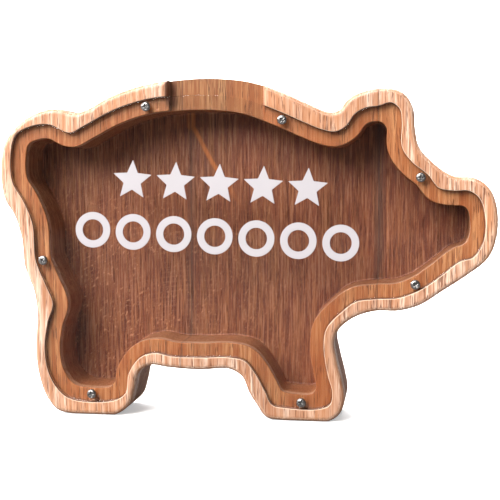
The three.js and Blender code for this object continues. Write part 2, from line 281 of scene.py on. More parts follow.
def smooth_outline(points, steps=24):
    """A centripetal Catmull-Rom curve through the points."""
    corners = np.array(points, float)
    count = len(corners)
    part = np.linspace(0, 1, steps, endpoint=False)[:, None]
    pieces = []
    for i in range(count):
        a, b, c, d = (corners[(i + k) % count] for k in (-1, 0, 1, 2))
        before, here, after = (math.sqrt(math.dist(*pair)) for pair in ((a, b), (b, c), (c, d)))
        leave = ((b - a) / before - (c - a) / (before + here) + (c - b) / here) * here
        arrive = ((c - b) / here - (d - b) / (here + after) + (d - c) / after) * here
        pieces.append(
            b
            + leave * part
            + (3 * (c - b) - 2 * leave - arrive) * part**2
            + (2 * (b - c) + leave + arrive) * part**3
        )
    outline = np.concatenate(pieces)
    outline[:, 1] = np.maximum(outline[:, 1], 0)
    return outline


def resample(outline, spacing=OUTLINE_SPACING):
    """The same outline with evenly spaced points."""
    closed = np.vstack([outline, outline[:1]])
    along = np.concatenate([[0], np.cumsum(np.hypot(*np.diff(closed, axis=0).T))])
    at = np.linspace(0, along[-1], round(along[-1] / spacing), endpoint=False)
    return np.stack([np.interp(at, along, closed[:, k]) for k in (0, 1)], axis=1)


def inset(outline, distance):
    """Every point moved inwards with both of its edges, point for point."""
    before = outline - np.roll(outline, 1, axis=0)
    after = np.roll(outline, -1, axis=0) - outline
    normals = [np.stack([e[:, 1], -e[:, 0]], 1) / np.hypot(*e.T)[:, None] for e in (before, after)]
    middle = normals[0] + normals[1]
    middle /= np.hypot(*middle.T)[:, None]
    stretch = np.maximum((middle * normals[0]).sum(1), 0.5)
    return outline + middle * (distance / stretch)[:, None]


def distance_to(points, outline):
    """How far each point is from an outline."""
    start = outline[None]
    along = (np.roll(outline, -1, axis=0) - outline)[None]
    away = points[:, None] - start
    part = np.clip((away * along).sum(2) / (along**2).sum(2), 0, 1)
    return np.sqrt(((away - part[..., None] * along) ** 2).sum(2)).min(1)


def offset(outline, distance):
    """An outline moved inwards by any distance, or outwards by a negative one, with rounded corners."""
    before = outline - np.roll(outline, 1, axis=0)
    after = np.roll(outline, -1, axis=0) - outline
    turns = np.arctan2(before[:, 0] * after[:, 1] - before[:, 1] * after[:, 0], (before * after).sum(1))
    moved = []
    for point, edge, turn in zip(outline, before, turns):
        normal = np.array([edge[1], -edge[0]]) / np.hypot(*edge)
        steps = max(1, math.ceil(abs(turn) / 0.1)) if turn * distance > 0 else 0
        angles = [turn / 2] if steps == 0 else [turn * k / steps for k in range(steps + 1)]
        for angle in angles:
            c, s = math.cos(angle), math.sin(angle)
            turned = np.array([c * normal[0] - s * normal[1], s * normal[0] + c * normal[1]])
            moved.append(point + distance * turned)
    moved = np.array(moved)
    return moved[distance_to(moved, outline) > abs(distance) - 2e-3]


body_outline = resample(smooth_outline(BODY_POINTS))
step_outline = resample(smooth_outline(STEP_POINTS))
pocket_outline = resample(
    offset(resample(offset(step_outline, STEP_WIDTH + ROUTER_BIT_RADIUS)), -ROUTER_BIT_RADIUS)
)


# ---- Meshes ----


def quarter(radius, steps):
    """(how far in, how deep) along a quarter round that leaves the face flat and ends square to it."""
    angles = [math.pi / 2 * i / steps for i in range(steps + 1)]
    return [(radius * (1 - math.sin(a)), radius * (1 - math.cos(a))) for a in angles]


class Shell:
    """Vertices and faces of one mesh that is put together loop by loop, in millimetres."""

    def __init__(self):
        self.points = []
        self.faces = []

    def loop(self, points):
        first = len(self.points)
        self.points.extend(tuple(p) for p in points)
        return list(range(first, len(self.points)))

    def flat_loop(self, outline, depth):
        return self.loop((x, FRONT_Y + depth, z) for x, z in outline)

    def bridge(self, a, b):
        count = len(a)
        self.faces.extend((a[i], a[(i + 1) % count], b[(i + 1) % count], b[i]) for i in range(count))

    def chain(self, loops):
        for a, b in zip(loops, loops[1:]):
            self.bridge(a, b)

    def fill(self, *loops):
        """Triangles over a flat loop, less the loops inside it."""
        order = [i for loop in loops for i in loop]
        flat = [[Vector((self.points[i][0], self.points[i][2], 0)) for i in loop] for loop in loops]
        self.faces.extend(tuple(order[k] for k in tri) for tri in tessellate_polygon(flat))

    def mesh(self, name):
        mesh = bpy.data.meshes.new(name)
        mesh.from_pydata([Vector(p) * MM for p in self.points], [], self.faces)
        work = bmesh.new()
        work.from_mesh(mesh)
        bmesh.ops.recalc_face_normals(work, faces=work.faces)
        work.to_mesh(mesh)
        work.free()
        return mesh


def add_object(name, mesh):
    made = bpy.data.objects.new(name, mesh)
    bpy.context.scene.collection.objects.link(made)
    return made


def drop(made):
    """Deletes an object that was only a tool."""
    mesh = made.data
    bpy.data.objects.remove(made)
    bpy.data.meshes.remove(mesh)


def apply_modifiers(made):
    """Puts the result of an object's modifiers into its own mesh."""
    graph = bpy.context.evaluated_depsgraph_get()
    old = made.data
    made.data = bpy.data.meshes.new_from_object(made.evaluated_get(graph))
    made.modifiers.clear()
    bpy.data.meshes.remove(old)


def cut(made, tool, operation="DIFFERENCE"):
    step = made.modifiers.new("cut", "BOOLEAN")
    step.operation = operation
    step.solver = "MANIFOLD"
    step.object = tool
    apply_modifiers(made)
    drop(tool)


def smooth(made, angle=SHARP_ANGLE):
    """Smooth shading with crisp edges, where flat faces keep their own normals."""
    made.data.shade_smooth()
    made.data.set_sharp_from_angle(angle=math.radians(angle))
    weighted = made.modifiers.new("flat faces", "WEIGHTED_NORMAL")
    weighted.keep_sharp = True
    apply_modifiers(made)


def dress(made, material, body, node):
    """Gives a finished piece its one material and its body, and hides the CAD node it stands for."""
    made.data.materials.clear()
    made.data.materials.append(material)
    for face in made.data.polygons:
        face.material_index = 0
    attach(made, body)
    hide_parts(node)


def turned_shell(profile, segments, turn=lambda angle, row: 1.0):
    """A closed round shell about the Y axis from (radius, y) pairs that start and end on the axis."""
    shell = Shell()
    angles = [2 * math.pi * k / segments for k in range(segments)]
    rings = []
    for row, (radius, y) in enumerate(profile[1:-1]):
        radii = [radius * turn(angle, row) for angle in angles]
        rings.append(shell.loop((r * math.cos(a), y, r * math.sin(a)) for r, a in zip(radii, angles)))
    shell.chain(rings)
    for end, ring in ((profile[0], rings[0]), (profile[-1], rings[-1])):
        tip = shell.loop([(0, end[1], 0)])[0]
        shell.faces.extend((tip, ring[k], ring[(k + 1) % segments]) for k in range(segments))
    return shell


def box_tool(low, high):
    shell = Shell()
    corners = [(low[0], low[1]), (high[0], low[1]), (high[0], high[1]), (low[0], high[1])]
    ends = [shell.loop((x, y, z) for x, y in corners) for z in (low[2], high[2])]
    shell.bridge(*ends)
    shell.faces.extend([tuple(ends[0]), tuple(ends[1])])
    return add_object("tool", shell.mesh("tool"))


def round_tool(centre, radius, low, high, flare=0.0):
    """A bar along Y between two depths, whose ends may widen like a countersink."""
    x, z = centre
    profile = [
        (0, low), (radius + flare, low), (radius, low + flare),
        (radius, high - flare), (radius + flare, high), (0, high),
    ]
    shell = turned_shell([(r, FRONT_Y + d) for r, d in profile], ROUND_SEGMENTS)
    shell.points = [(px + x, py, pz + z) for px, py, pz in shell.points]
    return add_object("tool", shell.mesh("tool"))


# ---- The body: one routed blank, cut into its three boards ----


def notch_tool():
    """A straight slot whose ends, and whose edge along the pocket, are rounded over."""
    shell = Shell()
    arc = [math.pi / 2 * i / 6 for i in range(7)]
    radius, fillet = NOTCH_EDGE_RADIUS, NOTCH_FILLET
    round_over = [(radius - radius * math.sin(a), radius - radius * math.cos(a)) for a in arc]
    corner = [(fillet - fillet * math.cos(a), NOTCH_DEPTH - fillet + fillet * math.sin(a)) for a in arc]
    left = [(NOTCH_LEFT - out, depth) for out, depth in round_over]
    right = [(NOTCH_RIGHT + out, depth) for out, depth in reversed(round_over)]
    low_left = [(NOTCH_LEFT + inwards, depth) for inwards, depth in corner]
    low_right = [(NOTCH_RIGHT - inwards, depth) for inwards, depth in reversed(corner)]
    section = [(NOTCH_LEFT - radius, -2), *left, *low_left, *low_right, *right, (NOTCH_RIGHT + radius, -2)]
    ends = [shell.loop((x, FRONT_Y + d, z) for x, d in section) for z in (NOTCH_BOTTOM, NOTCH_TOP)]
    shell.bridge(*ends)
    for end in ends:
        flat = [[Vector((shell.points[i][0], shell.points[i][1], 0)) for i in end]]
        shell.faces.extend(tuple(end[k] for k in tri) for tri in tessellate_polygon(flat))
    return add_object("tool", shell.mesh("tool"))


def routed_blank():
    """The whole body in one piece, with its step, pocket, notch and pilot holes."""
    shell = Shell()
    round_over = quarter(EDGE_RADIUS, 8)
    outer = [shell.flat_loop(inset(body_outline, EDGE_RADIUS + SUPPORT), 0)]
    outer += [shell.flat_loop(inset(body_outline, inwards), depth) for inwards, depth in round_over]
    outer += [
        shell.flat_loop(inset(body_outline, inwards), BODY_THICKNESS - depth)
        for inwards, depth in reversed(round_over)
    ]
    outer.append(shell.flat_loop(inset(body_outline, EDGE_RADIUS + SUPPORT), BODY_THICKNESS))
    shell.chain(outer)
    shell.fill(outer[-1])

    step = [shell.flat_loop(inset(step_outline, -RIM_EASE - SUPPORT), 0)]
    step += [shell.flat_loop(inset(step_outline, -out), depth) for out, depth in quarter(RIM_EASE, 4)]
    step.append(shell.flat_loop(step_outline, STEP_DEPTH))
    shell.chain(step)
    shell.fill(outer[0], step[0])
    # A loop on the ledge where the painted shadow of the gap fades out.
    step.append(shell.flat_loop(inset(step_outline, GAP_SHADOW_WIDTH), STEP_DEPTH))
    shell.bridge(step[-2], step[-1])

    floor_depth = BODY_THICKNESS - FLOOR_THICKNESS
    pocket = [shell.flat_loop(inset(pocket_outline, -POCKET_EASE - SUPPORT), STEP_DEPTH)]
    pocket += [
        shell.flat_loop(inset(pocket_outline, -out), STEP_DEPTH + depth)
        for out, depth in quarter(POCKET_EASE, 4)
    ]
    pocket += [
        shell.flat_loop(inset(pocket_outline, depth), floor_depth - inwards)
        for inwards, depth in quarter(FLOOR_FILLET, 5)
    ]
    pocket.append(shell.flat_loop(inset(pocket_outline, FLOOR_FILLET + SUPPORT), floor_depth))
    shell.chain(pocket)
    shell.fill(step[-1], pocket[0])
    shell.fill(pocket[-1])

    blank = add_object("blank", shell.mesh("blank"))
    cut(blank, notch_tool())
    for centre in SCREW_CENTRES.values():
        cut(blank, round_tool(centre, PILOT_RADIUS, STEP_DEPTH - 1, PILOT_DEPTH))
    return blank


def mark_step_wall(board):
    """Stores on each vertex how much it belongs to the step's wall, where the material paints the shadow in
    the gap.
    """
    places = np.array([v.co for v in board.data.vertices]) / MM
    depth = places[:, 1] - FRONT_Y
    marks = np.zeros(len(places))
    below_rim = depth > RIM_EASE - WALL_DEPTH_TOLERANCE
    near = np.nonzero(below_rim & (depth < STEP_DEPTH + WALL_DEPTH_TOLERANCE))[0]
    near = near[
        [distance_to(places[[i]][:, [0, 2]], step_outline)[0] < WALL_TOLERANCE for i in near]
    ]
    marks[near] = 1.0
    stored = board.data.attributes.new("step_wall", "FLOAT", "POINT")
    stored.data.foreach_set("value", marks)


def make_boards():
    blank = routed_blank()
    reach_low, reach_high = BODY_REACH
    edges = [reach_low[0], *BOARD_JOINTS, reach_high[0]]
    for i, node in enumerate(("rear_board", "middle_board", "front_board")):
        board = add_object(node.replace("board", "wood_board"), blank.data.copy())
        low = (edges[i] + VISUAL_GLUE_LINE / 2, *reach_low[1:])
        high = (edges[i + 1] - VISUAL_GLUE_LINE / 2, *reach_high[1:])
        cut(board, box_tool(low, high), "INTERSECT")
        smooth(board)
        mark_step_wall(board)
        dress(board, wood_material(node, *BOARD_LOOKS[i]), "body", node)
    drop(blank)


# ---- The clear panel ----


def make_panel():
    front = PANEL_LOW.y / MM - FRONT_Y
    back = PANEL_HIGH.y / MM - FRONT_Y + PANEL_EXTRA_DEPTH
    outline = inset(step_outline, PANEL_SIDE_GAP - PANEL_SPREAD)
    edge = quarter(PANEL_EDGE, 2)
    shell = Shell()
    loops = [shell.flat_loop(inset(outline, PANEL_FRAME), front)]
    loops += [shell.flat_loop(inset(outline, inwards), front + depth) for inwards, depth in edge]
    loops += [shell.flat_loop(inset(outline, inwards), back - depth) for inwards, depth in reversed(edge)]
    loops.append(shell.flat_loop(inset(outline, PANEL_FRAME), back))
    shell.chain(loops)
    shell.fill(loops[0])
    shell.fill(loops[-1])
    panel = add_object("clear_panel", shell.mesh("clear_panel"))
    for centre in SCREW_CENTRES.values():
        cut(panel, round_tool(centre, PANEL_HOLE_RADIUS, front - 0.01, back + 0.01, PANEL_HOLE_EASE))
    smooth(panel)
    dress(panel, acrylic_material(), "panel", "front_panel")


# ---- Pan-head screws ----


def thread_profile(length):
    """(radius, y) rows of the shank from its point to the head, and how much thread each row carries."""
    rows = []
    count = round(length / THREAD_PITCH * THREAD_ROWS)
    for i in range(count + 1):
        y = length * (1 - i / count)
        point = min(1, (length - y) / SHANK_POINT)
        threaded = min(1, max(0, (y - SHANK_PLAIN) / THREAD_RUNOUT))
        core = SHANK_CORE * (POINT_SHARE + (1 - POINT_SHARE) * point**0.8) + SHANK_NECK * (1 - threaded)
        rows.append((core, y, THREAD_HEIGHT * threaded * (0.25 + 0.75 * point)))
    return rows


def screw_mesh():
    """One screw about the Y axis: its head's front at y = 0 and its point towards +Y."""
    length = (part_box("screw_jaw")[1].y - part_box("screw_jaw")[0].y) / MM - HEAD_HEIGHT
    shank = [(r, HEAD_HEIGHT + y, ridge) for r, y, ridge in thread_profile(length)]
    head = [(HEAD_RADIUS - inwards, y, 0) for inwards, y in HEAD_SIDE]
    tip = (0, HEAD_HEIGHT + length + SHANK_TIP, 0)
    rows = [tip, *shank, *head, (HEAD_FLAT_RADIUS, 0.0, 0), (0, 0, 0)]
    profile = [row[:2] for row in rows]

    def ridged(angle, row):
        radius, y, ridge = rows[row + 1]
        turn = (y / THREAD_PITCH - angle / (2 * math.pi)) % 1
        return 1 + ridge * max(0, 1 - abs(turn - 0.5) * 3.4) / max(radius, 0.1)

    shell = turned_shell(profile, ROUND_SEGMENTS, ridged)
    made = add_object("screw_pattern", shell.mesh("screw_pattern"))
    for quarter_turn in (0, 1):
        arm = Shell()
        loops = []
        for depth, long, wide in RECESS_ENDS:
            corners = [(-long, -wide), (long, -wide), (long, wide), (-long, wide)]
            if quarter_turn:
                corners = [(-z, x) for x, z in corners]
            loops.append(arm.loop((x, depth, z) for x, z in corners))
        arm.bridge(*loops)
        arm.faces.extend(tuple(loop) for loop in loops)
        cut(made, add_object("tool", arm.mesh("tool")))
    smooth(made, SCREW_SHARP_ANGLE)
    mesh = made.data
    bpy.data.objects.remove(made)
    return mesh


def make_screws():
    mesh = screw_mesh()
    steel = steel_material()
    for i, (node, body) in enumerate(SCREWS.items()):
        own = mesh.copy()
        turn = math.radians(TURN_STEP * i + FIRST_TURN)
        shape = np.array([v.co for v in own.vertices])
        c, s = math.cos(turn), math.sin(turn)
        x, z = shape[:, 0].copy(), shape[:, 2].copy()
        centre = node_centre(node)
        shape[:, 0] = c * x - s * z + centre.x * MM
        shape[:, 2] = s * x + c * z + centre.z * MM
        shape[:, 1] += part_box(node)[0].y
        own.vertices.foreach_set("co", shape.ravel())
        own.update()
        screw = add_object(node + "_pan_head", own)
        smooth(screw, SCREW_SHARP_ANGLE)
        dress(screw, steel, body, node)
    bpy.data.meshes.remove(mesh)


# ---- White stars and coin rings stuck on the panel ----


def star_outline():
    """A five-pointed star with slightly rounded tips, clockwise."""
    corners = []
    for k in range(10):
        angle = math.pi / 2 - k * math.pi / 5 + ROW_TILT
        radius = STAR_INNER_RADIUS if k % 2 else STAR_RADIUS
        corners.append(np.array([math.cos(angle), math.sin(angle)]) * radius)
    points = []
    for k, corner in enumerate(corners):
        before, after = corners[k - 1], corners[(k + 1) % 10]
        start = corner + (before - corner) / np.linalg.norm(before - corner) * STAR_TIP
        end = corner + (after - corner) / np.linalg.norm(after - corner) * STAR_TIP
        for part in np.linspace(0, 1, 6):
            points.append((1 - part) ** 2 * start + 2 * part * (1 - part) * corner + part**2 * end)
    return np.array(points)


def circle(radius, segments=96):
    angles = [-2 * math.pi * k / segments for k in range(segments)]
    return np.array([(radius * math.cos(a), radius * math.sin(a)) for a in angles])


def decal_shell(outer, inner, thickness):
    """A flat decoration with soft front edges, its face at y = 0."""
    edge = quarter(DECAL_EDGE, 3)
    shell = Shell()
    rows = [(DECAL_EDGE + DECAL_FRAME, 0.0), *edge, (0.0, thickness)]
    loops = [shell.loop((x, d, z) for x, z in inset(outer, inwards)) for inwards, d in rows]
    shell.chain(loops)
    holes = []
    if inner is not None:
        holes = [shell.loop((x, d, z) for x, z in inset(inner, -out)) for out, d in rows]
        shell.chain(holes)
    shell.fill(loops[0], *holes[:1])
    shell.fill(loops[-1], *holes[-1:])
    return shell


def make_decals():
    vinyl = vinyl_material()
    kinds = [
        ("star", 5, star_outline(), None),
        ("coin_ring", 7, circle(COIN_RADIUS), circle(COIN_HOLE_RADIUS)),
    ]
    for kind, count, outer, inner in kinds:
        for i in range(count):
            node = f"{kind}_{i + 1}"
            low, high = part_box(node)
            shell = decal_shell(outer, inner, (high.y - low.y) / MM)
            centre = node_centre(node) - Vector((*(outer.min(0) + outer.max(0)) / 2, 0)).xzy
            shell.points = [(x + centre.x, y + low.y / MM, z + centre.z) for x, y, z in shell.points]
            decal = add_object("white_" + node, shell.mesh(node))
            smooth(decal)
            dress(decal, vinyl, "panel", node)


# ---- Materials ----


class Nodes:
    """A material's nodes. Its calls take numbers, colours or sockets, and return an output socket."""

    def __init__(self, name):
        self.material = bpy.data.materials.new(name)
        self.material.use_nodes = True
        self.tree = self.material.node_tree
        self.tree.nodes.clear()

    def put(self, kind, inputs=(), output=0, **settings):
        node = self.tree.nodes.new(kind)
        for key, value in settings.items():
            setattr(node, key, value)
        for key, value in dict(inputs).items():
            if isinstance(value, bpy.types.NodeSocket):
                self.tree.links.new(value, node.inputs[key])
            else:
                node.inputs[key].default_value = value
        return node.outputs[output]

    def math(self, operation, *values, clamp=False):
        return self.put("ShaderNodeMath", enumerate(values), operation=operation, use_clamp=clamp)

    def vector(self, operation, *values):
        return self.put("ShaderNodeVectorMath", enumerate(values), operation=operation)

    def scaled(self, place, scale, offset=(0, 0, 0)):
        return self.put(
            "ShaderNodeVectorMath", [(0, place), (1, scale), (2, offset)], operation="MULTIPLY_ADD"
        )

    def split(self, vector):
        node = self.tree.nodes.new("ShaderNodeSeparateXYZ")
        self.tree.links.new(vector, node.inputs[0])
        return node.outputs[0], node.outputs[1], node.outputs[2]

    def noise(self, place, detail, roughness=0.5, output="Fac"):
        node = self.put(
            "ShaderNodeTexNoise",
            {"Vector": place, "Scale": 1.0, "Detail": detail, "Roughness": roughness},
            noise_dimensions="3D",
        ).node
        return node.outputs[output]

    def ramp(self, value, low, high, start=0.0, end=1.0):
        """A smooth step from start to end as value goes from low to high."""
        return self.put(
            "ShaderNodeMapRange",
            {"Value": value, "From Min": low, "From Max": high, "To Min": start, "To Max": end},
            interpolation_type="SMOOTHSTEP",
        )

    def mix(self, share, first, second, blend="MIX"):
        node = self.tree.nodes.new("ShaderNodeMix")
        node.data_type = "RGBA"
        node.blend_type = blend
        for key, value in (("Factor_Float", share), ("A_Color", first), ("B_Color", second)):
            socket = next(s for s in node.inputs if s.identifier == key)
            if isinstance(value, bpy.types.NodeSocket):
                self.tree.links.new(value, socket)
            else:
                socket.default_value = value
        return next(s for s in node.outputs if s.identifier == "Result_Color")

    def bump(self, height, distance, strength):
        return self.put("ShaderNodeBump", {"Height": height, "Distance": distance, "Strength": strength})

    def times(self, *values):
        """The product of two or more numbers or sockets."""
        product = values[0]
        for value in values[1:]:
            product = self.math("MULTIPLY", product, value)
        return product

    def band(self, value, rise, fall):
        """1 where value lies between a smooth rise and a smooth fall, each given by its two ends."""
        return self.times(self.ramp(value, *rise), self.ramp(value, *fall))

    def tinted(self, share, colour, tint):
        """A colour multiplied by a tint, by a share of 0 to 1."""
        return self.mix(share, colour, self.mix(1.0, colour, tint, "MULTIPLY"))

    def finish(self, shader):
        output = self.tree.nodes.new("ShaderNodeOutputMaterial")
        self.tree.links.new(shader, output.inputs["Surface"])
        return self.material


def srgb(colour, tone=1.0):
    """A colour of 0 to 255, times a tone, as the linear colour that nodes take."""
    values = [v * tone / 255 for v in colour]
    return (*(v / 12.92 if v <= 0.04045 else ((v + 0.055) / 1.055) ** 2.4 for v in values), 1.0)


def wood_material(name, tone, heart, place_offset):
    """Open-grained golden wood, its grain upright: rings, pores, fibres and the marks of the router, with
    painted shade, painted shadows, a painted highlight and a painted streak of light.
    """
    n = Nodes("wood_" + name)
    mm = n.scaled(n.put("ShaderNodeTexCoord", output=3), (1000, 1000, 1000))
    ny, nz = n.split(n.put("ShaderNodeTexCoord", output=1))[1:]
    facing = n.math("ABSOLUTE", ny)
    x, y, z = n.split(mm)
    own = n.vector("ADD", mm, place_offset)
    ledge_y = FRONT_Y + STEP_DEPTH
    notch_y = FRONT_Y + NOTCH_DEPTH
    floor_y = FRONT_Y + BODY_THICKNESS - FLOOR_THICKNESS

    def grain(stretch, detail, roughness=0.5):
        return n.noise(n.scaled(own, stretch), detail, roughness)

    # Rings around the board's heart.
    wander = n.noise(n.scaled(own, (0.035, 0.035, 0.009)), 2, output="Color")
    warped = n.vector("ADD", mm, n.scaled(wander, (9, 9, 0), (-4.5, -4.5, 0)))
    wx, wy, wz = n.split(warped)
    from_heart_x = n.math("ADD", n.math("SUBTRACT", wx, heart[0]), n.times(wz, 0.05))
    from_heart_y = n.math("SUBTRACT", wy, heart[1])
    away = n.math("SQRT", n.math(
        "ADD", n.math("POWER", from_heart_x, 2.0), n.math("POWER", from_heart_y, 2.0)
    ))
    uneven = grain((0.09, 0.09, 0.012), 1)
    ring = n.math("FRACT", n.math("ADD", n.math("DIVIDE", away, RING_SPACING), n.times(uneven, 1.4)))
    late = n.band(ring, (0.15, 0.85), (1.0, 0.9))
    early = n.ramp(ring, 0.42, 0.05)

    # Fibres, streaks and pores along the grain, over broad blotches.
    fibre = grain((2.6, 2.6, 0.075), 3, 0.6)
    streak = grain((0.62, 0.62, 0.02), 2, 0.6)
    line = grain((1.25, 1.25, 0.035), 2, 0.6)
    pore_noise = grain((1.9, 1.9, 0.1), 1.5)
    pore = n.ramp(n.math("ADD", pore_noise, n.times(early, 0.08)), 0.62, 0.68)
    broad = grain((0.03, 0.03, 0.01), 2)
    blotch = grain((0.16, 0.16, 0.04), 2)
    dark = srgb(WOOD_DARK, tone)
    colour = n.mix(n.times(late, 0.6), srgb(WOOD_LIGHT, tone), dark)
    colour = n.mix(n.ramp(streak, 0.42, 0.62, 0.0, 0.75), colour, dark)
    colour = n.mix(n.ramp(line, 0.50, 0.66, 0.0, 0.6), colour, srgb(WOOD_LINE))
    colour = n.mix(n.ramp(fibre, 0.4, 0.7, 0.0, 0.5), colour, srgb(WOOD_FIBRE))
    colour = n.mix(n.ramp(broad, 0.35, 0.7, 0.0, 0.4), colour, srgb(WOOD_BROAD))
    colour = n.mix(n.ramp(blotch, 0.5, 0.68, 0.0, 0.45), colour, srgb(WOOD_BLOTCH))
    colour = n.mix(n.times(pore, n.ramp(y, 4.0, 8.0, 0.75, 0.5)), colour, srgb(WOOD_PORE))

    # End grain is darker on the top and bottom edges.
    end_grain = n.times(n.ramp(n.math("ABSOLUTE", nz), 0.45, 0.95), n.ramp(y, 14.0, -10.0, 0.6, 1.0))
    colour = n.mix(n.times(end_grain, 0.28), colour, srgb(END_GRAIN))

    # Painted shade: the step and the pocket are darker than the rim, the floor is the darkest, and the pocket
    # grows darker still towards the snout.
    on_step = n.band(y, (ledge_y - 0.6, ledge_y - 0.1), (ledge_y + 0.9, ledge_y + 0.3))
    colour = n.tinted(on_step, colour, srgb(STEP_SHADE_TINT))
    inside = n.band(y, (notch_y + 0.2, notch_y + 2.5), (floor_y + 0.6, floor_y + 0.2))
    on_floor = n.times(inside, n.ramp(y, floor_y - 1.2, floor_y - 0.2))
    shade = n.mix(on_floor, srgb(POCKET_WALL_SHADE), srgb(POCKET_FLOOR_SHADE))
    shade = n.tinted(n.ramp(x, 45, 130), shade, srgb(SNOUT_SHADE))
    colour = n.tinted(inside, colour, shade)

    # The floor shows its fibres more than the rim does.
    coarse = grain((1.0, 1.0, 0.05), 4, 0.7)
    deep = n.times(on_floor, n.ramp(coarse, 0.46, 0.62, 0.0, 0.7))
    colour = n.tinted(deep, colour, srgb(DEEP_FIBRE_TINT))
    pale = n.times(on_floor, n.ramp(coarse, 0.5, 0.36, 0.0, 0.45))
    colour = n.mix(pale, colour, srgb(PALE_FIBRE))

    # Painted shade darkens the notch's floor too.
    notch_floor_shade = n.band(y, (notch_y - 1.5, notch_y - 0.3), (notch_y + 0.6, notch_y + 0.2))
    notch_floor_shade = n.times(notch_floor_shade, n.ramp(facing, 0.6, 0.9))
    colour = n.tinted(notch_floor_shade, colour, srgb(NOTCH_SHADE))
    # A painted shadow in the gap along the step's wall, stronger towards the bottom.
    gap_shadow = n.put("ShaderNodeAttribute", output=2, attribute_name="step_wall")
    colour = n.mix(n.times(gap_shadow, n.ramp(z, 150, 90, 0.5, 0.85)), colour, srgb(STEP_GAP_SHADOW))
    # A painted highlight makes the rim's eased edge pale.
    edge_highlight = n.times(n.ramp(facing, 0.97, 0.8), n.ramp(n.math("SUBTRACT", y, FRONT_Y), 0.42, 0.3))
    colour = n.mix(n.times(edge_highlight, 0.6), colour, srgb(RIM_EDGE_HIGHLIGHT))

    # Marks of the cutter on the floor: short slanting nicks and faint swirls, strongest towards the rear leg.
    cosine, sine = NICK_LEAN
    across = n.math("SUBTRACT", n.times(x, cosine), n.times(z, sine))
    along = n.math("ADD", n.times(x, sine), n.times(z, cosine))
    slanting = n.put("ShaderNodeCombineXYZ", [(0, across), (1, y), (2, along)])
    nicks = n.noise(n.scaled(slanting, (0.7, 0.8, 0.34), place_offset), 3.5, 0.7)
    from_centre = n.put(
        "ShaderNodeVectorMath", [(0, warped), (1, SWIRL_CENTRE)], output=1, operation="DISTANCE"
    )
    swirl = n.math("SINE", n.times(from_centre, SWIRL_RATE))
    swirls = n.times(n.ramp(swirl, 0.4, 1.0), n.ramp(line, 0.42, 0.6))
    patchy = n.ramp(grain((0.09, 0.09, 0.06), 3), 0.34, 0.52)
    rear = n.times(n.ramp(x, 40, -60, 0.25, 1.0), n.ramp(z, 160, 90, 0.3, 1.0))
    marks = n.math("ADD", n.ramp(nicks, 0.57, 0.68), n.times(swirls, 0.2), clamp=True)
    scratch = n.times(marks, patchy, rear, on_floor)
    colour = n.mix(n.times(scratch, 0.5), colour, srgb(CUTTER_MARK))

    # A painted streak of light, falling through the notch, runs down the floor, then leans towards the snout
    # as it fades.
    lean = n.times(n.math("MAXIMUM", n.math("SUBTRACT", STREAK_BEND, z), 0.0), STREAK_LEAN)
    from_streak = n.math("ABSOLUTE", n.math("SUBTRACT", n.math("SUBTRACT", wx, lean), STREAK_START))
    notch_light = n.times(n.ramp(from_streak, 2.6, 0.4), n.ramp(z, 118, 160))
    notch_light = n.times(notch_light, on_floor, n.ramp(line, 0.35, 0.55, 0.6, 1.0))
    colour = n.mix(n.times(notch_light, 0.55), colour, srgb(NOTCH_LIGHT_STREAK))

    # A painted shadow at the rear end of the notch, where the notch's wall shades its floor.
    in_notch = n.times(n.ramp(y, notch_y + 0.8, notch_y + 0.2), n.ramp(z, 180, 184))
    notch_end_shadow = n.band(x, (NOTCH_LEFT + 7, NOTCH_LEFT + 1), (NOTCH_LEFT - 2.2, NOTCH_LEFT - 1.2))
    colour = n.mix(n.times(notch_end_shadow, in_notch, 0.8), colour, srgb(NOTCH_END_SHADOW))

    # A fine dark line of glue at each joint, wider where it stained the floor.
    from_joints = [n.math("ABSOLUTE", n.math("SUBTRACT", x, at)) for at in BOARD_JOINTS]
    from_joint = n.math("MINIMUM", *from_joints)
    colour = n.mix(n.times(n.ramp(from_joint, 0.75, 0.12), 0.6), colour, srgb(GLUE))
    stain = n.times(n.ramp(from_joint, 4.6, 0.8), n.ramp(streak, 0.3, 0.55, 0.3, 1.0))
    stain = n.times(stain, n.ramp(x, 0, 60, 0.4, 0.8), on_floor)
    colour = n.mix(stain, colour, srgb(JOINT_STAIN))

    height = n.math("SUBTRACT", n.times(fibre, 0.35), pore)
    rough_floor = n.times(grain((2.2, 2.2, 0.5), 3), on_floor)
    relief = n.math("ADD", height, n.math("ADD", n.times(scratch, 0.5), n.times(rough_floor, 0.9)))
    roughness = n.math(
        "ADD",
        n.math("ADD", n.times(fibre, 0.18), n.times(pore, 0.25)),
        n.math("ADD", n.times(inside, 0.2), 0.29),
    )
    shader = n.put("ShaderNodeBsdfPrincipled", {
        "Base Color": colour,
        "Roughness": roughness,
        "Normal": n.bump(relief, 0.00012, 0.9),
        "Specular IOR Level": 0.36,
    })
    return n.finish(shader)


def acrylic_material():
    """Clear acrylic with fine wiping marks, which lets the lamps' light through to what is behind it."""
    n = Nodes("acrylic")
    place = n.put("ShaderNodeTexCoord", output=3)
    smear = n.noise(n.scaled(place, (35, 35, 60)), detail=3, roughness=0.6)
    wipes = n.noise(n.scaled(place, (900, 60, 70)), detail=2)
    roughness = n.math("ADD", n.ramp(smear, 0.45, 0.8, 0.0, 0.01), n.ramp(wipes, 0.6, 0.85, 0.0, 0.006))
    glass = n.put("ShaderNodeBsdfPrincipled", {
        "Base Color": (0.93, 0.945, 0.945, 1.0),
        "Roughness": roughness,
        "IOR": 1.2,
        "Transmission Weight": 1.0,
    })
    through = n.put("ShaderNodeBsdfTransparent", {"Color": (0.9, 0.91, 0.91, 1.0)})
    is_shadow = n.put("ShaderNodeLightPath", output=1)
    is_diffuse = is_shadow.node.outputs[2]
    seen = n.put("ShaderNodeMixShader", [(0, is_diffuse), (1, glass), (2, through)])
    return n.finish(n.put("ShaderNodeMixShader", [(0, is_shadow), (1, seen), (2, through)]))


